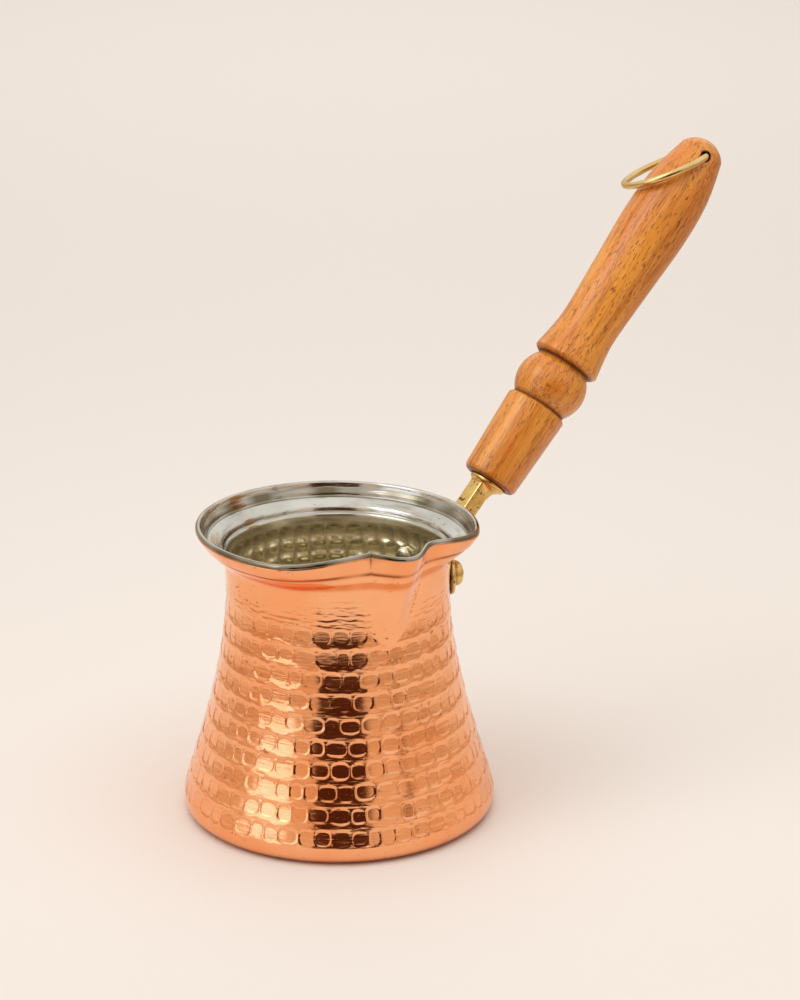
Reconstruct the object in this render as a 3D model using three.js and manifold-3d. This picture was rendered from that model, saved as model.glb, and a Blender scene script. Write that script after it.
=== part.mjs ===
// Copper cezve: a hand-raised coffee pot with a cast brass bracket, a turned wooden handle and a
// brass hanging ring. Millimetres, +Z up. The origin is the centre of the base on the table. The
// handle leans out along +X and the spout faces -Y.
import * as THREE from "three";
import Module from "manifold-3d";
import { mergeVertices } from "three/addons/utils/BufferGeometryUtils.js";

const wasm = await Module();
wasm.setup();

const degrees = THREE.MathUtils.degToRad;

// Clearances
const partGap = 0.3;
const liningGap = 0.05;
const cutOverrun = 1;
const ringMouthClearance = 0.5;

// Pot outline, outer side
const baseRadius = 51.5;
const baseEdgeRadius = 4.4;
const shoulderRadius = 15.4;
const shoulderTurn = degrees(13.8);
const flankLowPull = 8;
const flankHighPull = 28.7;
const flarePull = 9.6;
const neckRadius = 36.4;
const neckHeight = 78;
const creaseRadius = 42;
const creaseHeight = 91.6;
const creaseStep = 1;
const rimRadius = 46;
const rimCornerHeight = 96.8;
const rimLean = 0.8;
const rimEdgeHeight = 0.95;

// Sheet
const copperThickness = 1;
const rimThickness = 1.7;
const tinThickness = 0.2;

// Spout
const spoutAzimuth = degrees(-90);
const pinchDepth = 8.6;
const pinchInnerAngle = degrees(12.8);
const pinchLeftAngle = degrees(63);
const pinchRightAngle = degrees(52);
const pinchRise = 2.6;
const channelDepth = 6.6;
const channelHalfAngle = degrees(12.5);
const channelFootHalfAngle = degrees(4.5);
const channelFootHeight = 66.5;
const lipDrop = 1;

// Bracket
const handleLean = degrees(48.85);
const barLean = degrees(47.5);
const barRimClearance = 4.3;
const barInset = 1.5;
const barThickness = 6;
const barWidth = 6.3;
const barEdgeRound = 0.8;
const barRootSpread = 4.5;
const plateThickness = 2;
const plateLobeRadius = 6.8;
const collarRadius = 6.4;
const collarThickness = 2.2;
const collarFlareLength = 4;
const collarTopAt = 13.45;

// Rivets
const rivetHalfAngle = degrees(18);
const plateDrop = 3.1;
const rivetShankRadius = 2;
const rivetHeadRadius = 4.2;
const rivetHeadHeight = 2.9;
const rivetHeadEdge = 0.8;
const rivetNubRadius = 1.5;
const rivetNubHeight = 0.6;
const rivetNubTaper = 0.25;
const rivetInnerRadius = 3.1;
const rivetInnerHeight = 1.5;
const rivetInnerEdge = 0.4;

// Stud
const studRadius = 2;
const studInBracket = 6;
const studInHandle = 30;

// Wooden handle, distances from its lower end
const collarRecess = 0.8;
const barrelLength = 30;
const barrelLowRadius = 9.7;
const barrelHighRadius = 10.7;
const barrelEdgeRound = 1.9;
const barrelTopChamfer = 0.5;
const grooveRadius = 9.5;
const grooveWidth = 1.2;
const ballLength = 14.8;
const ballRadius = 12.2;
const gripFlareRadius = 11.8;
const gripEdgeRound = 1;
const gripFlareEndAt = 9.3;
const gripFlareEndRadius = 10.5;
const gripWaistAt = 17;
const gripWaistRadius = 10;
const gripBellyAt = 57;
const gripBellyRadius = 11.75;
const gripTaperFromTip = 18.4;
const gripTaperRadius = 10.9;
const gripLength = 90.9;
const tipRadius = 8.9;

// Hanging ring
const holeFromTip = 4.7;
const holeRadius = 2.1;
const holeTurn = degrees(27.5);
const holeSkew = degrees(15);
const wireRadius = 1.2;
const ringReach = 27.9;
const ringCornerRadius = 3.6;
const ringLean = degrees(32.5);
const ringSplit = 0.5;

// Facets
const potSteps = 56;
const potStepBunching = 0.6;
const turnedSteps = 24;
const smallSteps = 16;
const wireSides = 8;
const wireSteps = 48;
const edgeSteps = 3;
const flankSteps = 8;
const flareSteps = 4;
const ballSteps = 6;
const gripSteps = 20;
const tipSteps = 3;

// Shared helpers

function toSolid(geometry) {
  const bare = geometry.clone();
  bare.deleteAttribute("normal");
  bare.deleteAttribute("uv");
  const merged = mergeVertices(bare, 1e-4);
  const triVerts = [];
  const index = merged.index.array;
  for (let i = 0; i < index.length; i += 3) {
    const [a, b, c] = [index[i], index[i + 1], index[i + 2]];
    if (a !== b && b !== c && c !== a) triVerts.push(a, b, c);
  }
  return new wasm.Manifold(new wasm.Mesh({
    numProp: 3,
    vertProperties: new Float32Array(merged.attributes.position.array),
    triVerts: new Uint32Array(triVerts),
  }));
}

function toGeometry(solid) {
  const mesh = solid.getMesh();
  const geometry = new THREE.BufferGeometry();
  geometry.setAttribute("position", new THREE.BufferAttribute(new Float32Array(mesh.vertProperties), 3));
  geometry.setIndex(new THREE.BufferAttribute(new Uint32Array(mesh.triVerts), 1));
  geometry.computeVertexNormals();
  return geometry;
}

function v2(x, y) {
  return new THREE.Vector2(x, y);
}

function radial(azimuth, radius, height) {
  return new THREE.Vector3(radius * Math.cos(azimuth), radius * Math.sin(azimuth), height);
}

// Pot outline from the base's centre to the rim's lower outer corner

function potOutline() {
  const edgeCentre = v2(baseRadius - baseEdgeRadius, baseEdgeRadius);
  const points = [v2(0, 0)];
  for (let i = 0; i <= edgeSteps; i++) {
    const turn = (i / edgeSteps) * Math.PI / 2;
    points.push(v2(edgeCentre.x + baseEdgeRadius * Math.sin(turn), edgeCentre.y - baseEdgeRadius * Math.cos(turn)));
  }
  const shoulderEnd = v2(
    baseRadius - shoulderRadius * (1 - Math.cos(shoulderTurn)),
    baseEdgeRadius + shoulderRadius * Math.sin(shoulderTurn),
  );
  const flank = new THREE.CubicBezierCurve(
    shoulderEnd,
    v2(shoulderEnd.x - flankLowPull * Math.sin(shoulderTurn), shoulderEnd.y + flankLowPull * Math.cos(shoulderTurn)),
    v2(neckRadius, neckHeight - flankHighPull),
    v2(neckRadius, neckHeight),
  );
  points.push(...flank.getPoints(flankSteps));
  const flare = new THREE.QuadraticBezierCurve(
    v2(neckRadius, neckHeight),
    v2(neckRadius, neckHeight + flarePull),
    v2(creaseRadius, creaseHeight),
  );
  points.push(...flare.getPoints(flareSteps).slice(1));
  const stepEnd = v2(creaseRadius + creaseStep, creaseHeight + creaseStep / 2);
  points.push(stepEnd);
  const rimCorner = v2(rimRadius, rimCornerHeight);
  points.push(stepEnd.clone().lerp(rimCorner, 0.5), rimCorner);
  return points;
}

const outline = potOutline();

function potRadiusAt(height) {
  const last = outline.length - 1;
  for (let i = 2; i <= last; i++) {
    if (height <= outline[i].y) {
      const share = (height - outline[i - 1].y) / (outline[i].y - outline[i - 1].y);
      return THREE.MathUtils.lerp(outline[i - 1].x, outline[i].x, Math.max(share, 0));
    }
  }
  return outline[last].x;
}

// Outer skin with the rim pinched in on both sides of a raised channel. The rim isn't quite level: it
// leans down towards the handle.

function skinPoint(station, fromSpout) {
  const { smoothstep, clamp } = THREE.MathUtils;
  const flareShare = clamp((station.x - neckRadius) / (rimRadius - neckRadius), 0, 1)
    * (station.y > neckHeight ? 1 : 0);
  const pinchEnd = fromSpout < 0 ? pinchLeftAngle : pinchRightAngle;
  const pinch = 1 - smoothstep(Math.abs(fromSpout), pinchInnerAngle, pinchEnd);
  const climb = clamp((station.y - channelFootHeight) / (rimCornerHeight - channelFootHeight), 0, 1);
  const halfAngle = THREE.MathUtils.lerp(channelFootHalfAngle, channelHalfAngle, climb);
  const ridge = Math.exp(-((fromSpout / halfAngle) ** 2));
  const radius = station.x - flareShare * pinchDepth * pinch + climb * channelDepth * ridge;
  const azimuth = spoutAzimuth + fromSpout;
  const lean = rimLean * Math.cos(azimuth);
  const height = station.y + flareShare * (pinchRise * pinch - lipDrop * ridge - lean);
  return radial(azimuth, radius, height);
}

const spoutAngles = Array.from({ length: potSteps }, (_, i) => {
  const even = (i / potSteps) * 2 * Math.PI - Math.PI;
  return even - potStepBunching * Math.sin(even);
});

// Unit normal into the pot at a station of the outer skin

function inwardNormal(stationIndex, fromSpout) {
  if (stationIndex === 0) return new THREE.Vector3(0, 0, 1);
  const before = outline[stationIndex - 1];
  const here = outline[stationIndex];
  const after = outline[Math.min(stationIndex + 1, outline.length - 1)];
  const probe = 0.01;
  const along = (from, to) => skinPoint(to, fromSpout).sub(skinPoint(from, fromSpout));
  const up = along(before, here).normalize();
  if (after !== here) up.add(along(here, after).normalize());
  const around = skinPoint(here, fromSpout + probe).sub(skinPoint(here, fromSpout - probe));
  return up.cross(around).normalize();
}

function sheetThickness(stationIndex) {
  return stationIndex >= outline.length - 3 ? rimThickness : copperThickness;
}

const lastStation = outline.length - 1;
const skin = outline.map((station) => spoutAngles.map((angle) => skinPoint(station, angle)));
const normals = outline.map((_, j) => spoutAngles.map((angle) => inwardNormal(j, angle)));

function offsetRing(j, offset) {
  return skin[j].map((point, i) => point.clone().addScaledVector(normals[j][i], offset));
}

const rimTop = skin[lastStation].map((point) => point.clone().add(new THREE.Vector3(0, 0, rimEdgeHeight)));

// Inner corner of the rim's flat top, level with its outer corner
const rimInner = offsetRing(lastStation, rimThickness).map((point, i) => point.setZ(rimTop[i].z));

function liftedRim(ring, offset) {
  return ring.map((point) => point.clone().add(new THREE.Vector3(0, 0, offset)));
}

function liftedCorner(offset) {
  return rimInner.map((point, i) => {
    const normal = normals[lastStation][i];
    const step = normal.clone().add(new THREE.Vector3(0, 0, 1)).multiplyScalar(offset / (1 + normal.z));
    return point.clone().add(step);
  });
}

// Closed solid from rings of points, with a pole at each end

function solidFromRings(startPole, rings, endPole) {
  const positions = [startPole, ...rings.flat(), endPole].flatMap((point) => point.toArray());
  const ringAt = (j, i) => 1 + j * potSteps + (i % potSteps);
  const endIndex = 1 + rings.length * potSteps;
  const index = [];
  for (let i = 0; i < potSteps; i++) {
    index.push(0, ringAt(0, i + 1), ringAt(0, i));
    for (let j = 0; j + 1 < rings.length; j++) {
      const corners = [ringAt(j, i), ringAt(j, i + 1), ringAt(j + 1, i + 1), ringAt(j + 1, i)];
      // Both sides of the sheet are split along the same diagonal, so that they stay parallel
      const first = rings[j + 1][0].z > rings[j][0].z ? 0 : 1;
      const [a, b, c, d] = [0, 1, 2, 3].map((k) => corners[(k + first) % 4]);
      index.push(a, b, c, a, c, d);
    }
    index.push(endIndex, ringAt(rings.length - 1, i), ringAt(rings.length - 1, i + 1));
  }
  const geometry = new THREE.BufferGeometry();
  geometry.setAttribute("position", new THREE.Float32BufferAttribute(positions, 3));
  geometry.setIndex(index);
  return toSolid(geometry);
}

const stationsOut = outline.map((_, j) => j).slice(1);
const stationsIn = stationsOut.slice(0, -1).reverse();

function potBody() {
  const outer = stationsOut.map((j) => skin[j]);
  const inner = stationsIn.map((j) => offsetRing(j, sheetThickness(j)));
  const rings = [...outer, rimTop, rimInner, ...inner];
  return solidFromRings(new THREE.Vector3(), rings, new THREE.Vector3(0, 0, copperThickness));
}

function tinLining() {
  const near = (j) => sheetThickness(j) + liningGap;
  const far = (j) => near(j) + tinThickness;
  const rings = [
    ...stationsIn.toReversed().map((j) => offsetRing(j, near(j))),
    liftedCorner(liningGap),
    liftedRim(rimTop, liningGap),
    liftedRim(rimTop, liningGap + tinThickness),
    liftedCorner(liningGap + tinThickness),
    ...stationsIn.map((j) => offsetRing(j, far(j))),
  ];
  const low = copperThickness + liningGap;
  return solidFromRings(new THREE.Vector3(0, 0, low), rings, new THREE.Vector3(0, 0, low + tinThickness));
}

// Handle line: it passes the rim's corner with room for the bar

const lineAlong = v2(Math.cos(handleLean), Math.sin(handleLean));
const lineOut = v2(Math.sin(handleLean), -Math.cos(handleLean));
const abreastOfRim = v2(rimRadius, rimCornerHeight - rimLean)
  .addScaledVector(lineOut, barThickness / 2 + barRimClearance);

function onLine(distance, side) {
  return abreastOfRim.clone().addScaledVector(lineAlong, distance).addScaledVector(lineOut, side);
}

// The collar sits a little way into the end of the wood

const woodStart = collarTopAt + partGap - collarRecess;

// The bar leaves the collar a little flatter than the handle and runs down to the plate

const barAlong = v2(Math.cos(barLean), Math.sin(barLean));
const barOut = v2(Math.sin(barLean), -Math.cos(barLean));
const barTop = onLine(collarTopAt - collarThickness, -barInset);

function onBar(distance, side) {
  return barTop.clone().addScaledVector(barAlong, distance).addScaledVector(barOut, side);
}

function onBarAt(x, side) {
  return onBar((x - onBar(0, side).x) / barAlong.x, side);
}

const seatRadius = neckRadius + partGap + plateThickness;
const plateHeight = onBarAt(seatRadius, 0).y - plateDrop;

// A closed profile of the neck's outer side between two offsets, turned into a ring

function neckShell(nearOffset, farOffset, low, high) {
  const slices = 6;
  const heights = Array.from({ length: slices + 1 }, (_, i) => THREE.MathUtils.lerp(low, high, i / slices));
  const far = heights.map((height) => v2(potRadiusAt(height) + farOffset, height));
  const near = heights.map((height) => v2(Math.max(potRadiusAt(height) + nearOffset, 0), height)).reverse();
  const geometry = new THREE.LatheGeometry([...far, ...near, far[0]], 2 * turnedSteps);
  geometry.rotateX(Math.PI / 2);
  return toSolid(geometry);
}

function bracketPlate() {
  const lobeAt = seatRadius * Math.sin(rivetHalfAngle);
  const wing = new THREE.Shape();
  wing.absarc(lobeAt, 0, plateLobeRadius, -Math.PI / 2, Math.PI / 2, false);
  wing.absarc(-lobeAt, 0, plateLobeRadius, Math.PI / 2, 1.5 * Math.PI, false);
  const prism = new THREE.ExtrudeGeometry(wing, { depth: baseRadius, bevelEnabled: false, curveSegments: 10 });
  prism.rotateX(Math.PI / 2);
  prism.rotateZ(Math.PI / 2);
  prism.translate(0, 0, plateHeight);
  const margin = plateLobeRadius + cutOverrun;
  const shell = neckShell(partGap, partGap + plateThickness, plateHeight - margin, plateHeight + margin);
  return shell.intersect(toSolid(prism));
}

// Side view of the bar, spreading into the plate at its root

function bracketBar() {
  const half = barThickness / 2 - barEdgeRound;
  const rootX = seatRadius - plateThickness / 2;
  const low = onBarAt(rootX, half);
  const high = onBarAt(rootX, -half);
  const lowLeave = low.clone().addScaledVector(barAlong, barRootSpread);
  const highLeave = high.clone().addScaledVector(barAlong, barRootSpread);
  const side = new THREE.Shape();
  side.moveTo(rootX, low.y - barRootSpread);
  side.quadraticCurveTo(low.x, low.y, lowLeave.x, lowLeave.y);
  side.lineTo(...onBar(0, half).toArray());
  side.lineTo(...onBar(0, -half).toArray());
  side.lineTo(highLeave.x, highLeave.y);
  side.quadraticCurveTo(high.x, high.y, rootX, high.y + barRootSpread / 4);
  const geometry = new THREE.ExtrudeGeometry(side, {
    depth: barWidth - 2 * barEdgeRound,
    bevelThickness: barEdgeRound,
    bevelSize: barEdgeRound,
    bevelSegments: 2,
    curveSegments: 4,
  });
  geometry.translate(0, 0, barEdgeRound - barWidth / 2);
  geometry.rotateX(Math.PI / 2);
  return toSolid(geometry);
}

// Turned and placed along the handle line, with its own Y along the line

function alongLine(object, distance) {
  const start = onLine(distance, 0);
  object.position.set(start.x, 0, start.y);
  object.rotation.set(Math.PI / 2, Math.PI / 2 - handleLean, 0, "YXZ");
  object.updateMatrix();
  return object;
}

function turnedOnLine(points, distance, steps) {
  const geometry = new THREE.LatheGeometry(points, steps);
  geometry.applyMatrix4(alongLine(new THREE.Object3D(), distance).matrix);
  return toSolid(geometry);
}

function bracketCollar() {
  const flareStart = collarTopAt - collarThickness - collarFlareLength;
  const innerRadius = barThickness / 2;
  const edge = collarThickness / 4;
  const flare = new THREE.EllipseCurve(
    collarRadius - edge, 0, collarRadius - edge - innerRadius, collarFlareLength, Math.PI, Math.PI / 2, true,
  );
  const points = [
    v2(0, 0),
    ...flare.getPoints(4),
    v2(collarRadius, collarFlareLength + edge),
    v2(collarRadius, collarFlareLength + collarThickness - edge),
    v2(collarRadius - edge, collarFlareLength + collarThickness),
    v2(0, collarFlareLength + collarThickness),
  ];
  return turnedOnLine(points, flareStart, smallSteps + 4);
}

function studHole() {
  const top = studInBracket + partGap;
  const radius = studRadius + partGap;
  const points = [v2(0, 0), v2(radius, 0), v2(radius, top + cutOverrun), v2(0, top + cutOverrun)];
  return turnedOnLine(points, collarTopAt - top, smallSteps);
}

// Rivets stand along the neck's radius on both sides of the bar

const rivetHeight = plateHeight;

function wallRadii(reach) {
  return [-reach, 0, reach].map((step) => potRadiusAt(rivetHeight + step));
}

const wallInnerAtRivet = Math.min(...wallRadii(rivetInnerRadius)) - copperThickness - liningGap - tinThickness;
const innerHeadSag = wallInnerAtRivet - Math.sqrt(wallInnerAtRivet ** 2 - rivetInnerRadius ** 2);
const wallFacetSag = wallInnerAtRivet * (1 - Math.cos((1 + potStepBunching) * Math.PI / potSteps));
const innerSeat = wallInnerAtRivet - innerHeadSag - wallFacetSag - partGap;
const outerSeat = Math.max(...wallRadii(rivetHeadRadius)) + plateThickness + 2 * partGap;

function rivetHole(azimuth) {
  const reach = 2 * (outerSeat - innerSeat);
  const radius = rivetShankRadius + partGap;
  const geometry = new THREE.CylinderGeometry(radius, radius, reach, smallSteps);
  geometry.translate(0, (innerSeat + outerSeat) / 2, 0);
  geometry.rotateZ(azimuth - Math.PI / 2);
  geometry.translate(0, 0, rivetHeight);
  return toSolid(geometry);
}

const rivetAzimuths = [-rivetHalfAngle, rivetHalfAngle];

function drilled(solid) {
  return rivetAzimuths.reduce((left, azimuth) => left.subtract(rivetHole(azimuth)), solid);
}

function handleBracket() {
  const reach = plateLobeRadius + barRootSpread + plateDrop;
  const neckRoom = neckShell(-neckRadius, partGap, plateHeight - 2 * reach, plateHeight + reach);
  const cast = bracketPlate().add(bracketBar().subtract(neckRoom)).add(bracketCollar());
  return drilled(cast).subtract(studHole());
}

function rivetGeometry() {
  const dome = new THREE.QuadraticBezierCurve(
    v2(rivetHeadRadius, outerSeat + rivetHeadEdge),
    v2(rivetHeadRadius, outerSeat + rivetHeadHeight),
    v2(rivetNubRadius, outerSeat + rivetHeadHeight),
  );
  const innerDome = new THREE.QuadraticBezierCurve(
    v2(0, innerSeat - rivetInnerHeight),
    v2(rivetInnerRadius, innerSeat - rivetInnerHeight),
    v2(rivetInnerRadius, innerSeat - rivetInnerEdge),
  );
  const points = [
    ...innerDome.getPoints(3),
    v2(rivetInnerRadius, innerSeat),
    v2(rivetShankRadius, innerSeat),
    v2(rivetShankRadius, outerSeat),
    v2(rivetHeadRadius, outerSeat),
    ...dome.getPoints(3),
    v2(rivetNubRadius - rivetNubTaper, outerSeat + rivetHeadHeight + rivetNubHeight),
    v2(0, outerSeat + rivetHeadHeight + rivetNubHeight),
  ];
  return toGeometry(toSolid(new THREE.LatheGeometry(points, smallSteps)));
}

// Wooden handle outline along its axis

const grooveLow = barrelLength;
const ballStart = grooveLow + grooveWidth;
const ballEnd = ballStart + ballLength;
const gripStart = ballEnd + grooveWidth;
const handleLength = gripStart + gripLength;

function woodOutline() {
  const ballCentre = ballStart + ballLength / 2;
  const ballBend = ((ballLength / 2) ** 2 + (ballRadius - grooveRadius) ** 2) / (2 * (ballRadius - grooveRadius));
  const ballHalf = Math.asin(ballLength / 2 / ballBend);
  const ball = Array.from({ length: ballSteps + 1 }, (_, i) => {
    const angle = THREE.MathUtils.lerp(-ballHalf, ballHalf, i / ballSteps);
    return v2(ballRadius - ballBend * (1 - Math.cos(angle)), ballCentre + ballBend * Math.sin(angle));
  });
  const tipStart = handleLength - tipRadius;
  const tipTurn = Math.PI / 3;
  const shoulder = v2(tipRadius * Math.sin(tipTurn), tipStart + tipRadius * Math.cos(tipTurn));
  const grip = new THREE.SplineCurve([
    v2(gripFlareRadius, gripStart + gripEdgeRound),
    v2(gripFlareEndRadius, gripStart + gripFlareEndAt),
    v2(gripWaistRadius, gripStart + gripWaistAt),
    v2((gripWaistRadius + gripBellyRadius) / 2, gripStart + (gripWaistAt + gripBellyAt) / 2),
    v2(gripBellyRadius, gripStart + gripBellyAt),
    v2(gripTaperRadius, handleLength - gripTaperFromTip),
    shoulder,
  ]);
  const tip = Array.from({ length: tipSteps }, (_, i) => {
    const turn = tipTurn * (1 - (i + 1) / tipSteps);
    return v2(tipRadius * Math.sin(turn), tipStart + tipRadius * Math.cos(turn));
  });
  const lowEdge = new THREE.EllipseCurve(
    barrelLowRadius - barrelEdgeRound, barrelEdgeRound, barrelEdgeRound, barrelEdgeRound, -Math.PI / 2, 0,
  );
  return [
    v2(0, collarRecess),
    v2(collarRadius + partGap, collarRecess),
    v2(collarRadius + partGap, 0),
    ...lowEdge.getPoints(edgeSteps),
    v2(barrelHighRadius, barrelLength - barrelTopChamfer),
    v2(barrelHighRadius - barrelTopChamfer, barrelLength),
    v2(grooveRadius, grooveLow + grooveWidth / 2),
    ...ball,
    v2(grooveRadius, ballEnd + grooveWidth / 2),
    v2(gripFlareRadius - gripEdgeRound, gripStart),
    ...grip.getPoints(gripSteps),
    ...tip,
  ];
}

const woodPoints = woodOutline();
const holeAt = handleLength - holeFromTip;

function woodRadiusAt(distance) {
  for (let i = woodPoints.length - 1; i > 0; i--) {
    if (woodPoints[i - 1].y <= distance) {
      const share = (distance - woodPoints[i - 1].y) / (woodPoints[i].y - woodPoints[i - 1].y);
      return THREE.MathUtils.lerp(woodPoints[i - 1].x, woodPoints[i].x, share);
    }
  }
  return woodPoints[0].x;
}

// Placed at the hole, with its own Z through it and its own Y towards the tip

function throughHole(object) {
  object.position.y = holeAt;
  object.rotation.set(holeSkew, -holeTurn, 0, "YXZ");
  object.updateMatrix();
  return object;
}

function woodHandle() {
  const wood = toSolid(new THREE.LatheGeometry(woodPoints, turnedSteps));
  const boreDepth = collarRecess + studInHandle + partGap;
  const boreRadius = studRadius + partGap;
  const bore = new THREE.CylinderGeometry(boreRadius, boreRadius, boreDepth + cutOverrun, smallSteps);
  bore.translate(0, (boreDepth - cutOverrun) / 2, 0);
  const hole = new THREE.CylinderGeometry(holeRadius, holeRadius, 4 * gripBellyRadius, smallSteps);
  hole.rotateX(Math.PI / 2);
  hole.applyMatrix4(throughHole(new THREE.Object3D()).matrix);
  return toGeometry(wood.subtract(toSolid(bore)).subtract(toSolid(hole)));
}

function handleStud() {
  const length = studInBracket + partGap + studInHandle;
  const chamfer = 0.5;
  const points = [
    v2(0, 0),
    v2(studRadius - chamfer, 0),
    v2(studRadius, chamfer),
    v2(studRadius, length - chamfer),
    v2(studRadius - chamfer, length),
    v2(0, length),
  ];
  return toGeometry(toSolid(new THREE.LatheGeometry(points, smallSteps)));
}

// Hanging ring: a round loop with a straight run through the wood, split at its back

class FlatWire extends THREE.Curve {
  constructor(path) {
    super();
    this.path = path;
  }

  getPoint(t, target = new THREE.Vector3()) {
    const point = this.path.getPointAt(t);
    return target.set(point.x, 0, point.y);
  }
}

function hangingRing() {
  const mouthAt = holeAt - woodRadiusAt(holeAt) * Math.tan(holeSkew);
  const straight = woodRadiusAt(mouthAt) / Math.cos(holeSkew) - ringMouthClearance;
  const corner = ringCornerRadius;
  const reach = ringReach - corner;
  const centre = (reach ** 2 - corner ** 2 - straight ** 2) / (2 * (ringReach - 2 * corner));
  const loopRadius = ringReach - centre;
  const leave = Math.atan2(straight, centre - corner);
  const splitAngle = ringSplit / loopRadius;
  const splitAt = -Math.PI / 2;
  const path = new THREE.Path();
  path.absarc(centre, 0, loopRadius, splitAt + splitAngle / 2, Math.PI - leave, false);
  path.absarc(corner, straight, corner, Math.PI - leave, Math.PI, false);
  path.lineTo(0, -straight);
  path.absarc(corner, -straight, corner, Math.PI, Math.PI + leave, false);
  path.absarc(centre, 0, loopRadius, Math.PI + leave, splitAt - splitAngle / 2 + 2 * Math.PI, false);
  const section = new THREE.Shape();
  section.absarc(0, 0, wireRadius, 0, 2 * Math.PI, false);
  const geometry = new THREE.ExtrudeGeometry(section, {
    steps: wireSteps,
    extrudePath: new FlatWire(path),
    curveSegments: wireSides,
  });
  return toGeometry(toSolid(geometry));
}

// Assembly

const copper = new THREE.MeshStandardMaterial({ color: 0xd98055, roughness: 0.28, metalness: 1 });
const tin = new THREE.MeshStandardMaterial({ color: 0xb9b6a8, roughness: 0.35, metalness: 1 });
const brass = new THREE.MeshStandardMaterial({ color: 0xb9923f, roughness: 0.35, metalness: 1 });
const steel = new THREE.MeshStandardMaterial({ color: 0x9a9a98, roughness: 0.4, metalness: 1 });
const wood = new THREE.MeshStandardMaterial({ color: 0xb9733a, roughness: 0.4, metalness: 0 });

function named(name, geometry, material) {
  const mesh = new THREE.Mesh(geometry, material);
  mesh.name = name;
  return mesh;
}

const cezve = new THREE.Group();
cezve.add(named("pot_body", toGeometry(drilled(potBody())), copper));
cezve.add(named("tin_lining", toGeometry(drilled(tinLining())), tin));
cezve.add(named("handle_bracket", toGeometry(handleBracket()), brass));

["rivet_spout_side", "rivet_far_side"].forEach((name, i) => {
  const rivet = named(name, rivetGeometry(), brass);
  rivet.position.z = rivetHeight;
  rivet.rotation.z = rivetAzimuths[i] - Math.PI / 2;
  cezve.add(rivet);
});

const stud = named("handle_stud", handleStud(), steel);
cezve.add(alongLine(stud, collarTopAt - studInBracket));

const handle = alongLine(new THREE.Group(), woodStart);
handle.add(named("wood_handle", woodHandle(), wood));
const ringMount = throughHole(new THREE.Group());
const ring = named("hanging_ring", hangingRing(), brass);
ring.rotation.z = -Math.PI / 2 - ringLean;
ringMount.add(ring);
handle.add(ringMount);
cezve.add(handle);

export default cezve;
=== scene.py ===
import math

import bmesh
import bpy
import numpy as np
from mathutils import Euler, Matrix, Vector


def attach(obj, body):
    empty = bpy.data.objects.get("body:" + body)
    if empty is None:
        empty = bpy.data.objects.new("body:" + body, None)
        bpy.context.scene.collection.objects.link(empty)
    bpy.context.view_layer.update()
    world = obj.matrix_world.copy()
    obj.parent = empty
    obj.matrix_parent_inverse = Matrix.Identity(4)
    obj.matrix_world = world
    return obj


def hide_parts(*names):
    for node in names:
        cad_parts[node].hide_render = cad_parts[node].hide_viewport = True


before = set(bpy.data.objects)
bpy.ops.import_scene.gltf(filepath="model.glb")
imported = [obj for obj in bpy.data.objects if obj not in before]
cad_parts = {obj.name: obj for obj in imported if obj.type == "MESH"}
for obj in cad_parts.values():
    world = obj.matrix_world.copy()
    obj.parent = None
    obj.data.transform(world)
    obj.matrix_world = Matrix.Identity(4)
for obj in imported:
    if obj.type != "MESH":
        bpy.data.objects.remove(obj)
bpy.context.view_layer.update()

MM = 0.001
TAU = 2 * math.pi

# Sizes shared with the solids

BASE_R = 51.4
BASE_EDGE = 4.4
SHOULDER_R = 15.4
SHOULDER_TURN = math.radians(13.8)
FLANK_LOW_PULL = 8
FLANK_HIGH_PULL = 28.7
NECK_R = 36.4
NECK_Z = 78
CREASE_Z = 91.6
RIM_R = 46
RIM_Z = 96.8
RIM_LEAN = 0.8
SPOUT_AT = math.radians(-90)
PINCH_DEPTH = 8.6
PINCH_IN = math.radians(12.8)
PINCH_LEFT = math.radians(63)
PINCH_RIGHT = math.radians(52)
PINCH_RISE = 2.6
CHANNEL_DEPTH = 6.6
CHANNEL_FOOT_Z = 66.5
LIP_DROP = 1
HANDLE_LEAN = math.radians(48.85)
BAR_LEAN = math.radians(47.5)
BAR_RIM_ROOM = 4.3
BAR_INSET = 1.5
BAR_T = 6
BAR_W = 6.3
BAR_ROOT_SPREAD = 4.5
PLATE_T = 2
PLATE_LOBE = 6.8
PLATE_DROP = 3.1
PART_GAP = 0.3
COLLAR_R = 6.4
COLLAR_T = 2.2
COLLAR_FLARE = 4
COLLAR_TOP_AT = 13.45
COLLAR_RECESS = 0.8
RIVET_TURN = math.radians(18)
RIVET_HEAD_R = 4.2
RIVET_HEAD_H = 2.9
RIVET_NUB_R = 1.5
RIVET_INNER_R = 3.1
RIVET_INNER_H = 1.5
HOLE_FROM_TIP = 4.7
HOLE_R = 2.1
HOLE_TURN = math.radians(27.5)
HOLE_SKEW = math.radians(15)
WIRE_R = 1.2
RING_REACH = 27.9
RING_CORNER = 3.6
RING_MOUTH_ROOM = 0.5
RING_LEAN = math.radians(32.5)
RING_SPLIT = 0.5
RING_SPLIT_BACK = 0.35
BARREL_L = 30
BARREL_LOW_R = 9.7
BARREL_HIGH_R = 10.7
BARREL_EDGE = 1.9
GROOVE_R = 9.5
GROOVE_W = 1.2
BALL_L = 14.8
BALL_R = 12.2
GRIP_FLARE_R = 11.8
GRIP_L = 90.9
TIP_R = 8.9


# Shared helpers

def smoothstep(x, low, high):
    t = np.clip((x - low) / (high - low), 0, 1)
    return t * t * (3 - 2 * t)


def plateau(x, rise_from, rise_to, fall_from, fall_to):
    """1 between rise_to and fall_from, 0 outside the other two, with soft slopes."""
    return smoothstep(x, rise_from, rise_to) * (1 - smoothstep(x, fall_from, fall_to))


def bell(x, centre, width):
    return np.exp(-((x - centre) / width) ** 2)


def full_turn(steps):
    return np.arange(steps) / steps * TAU


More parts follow.
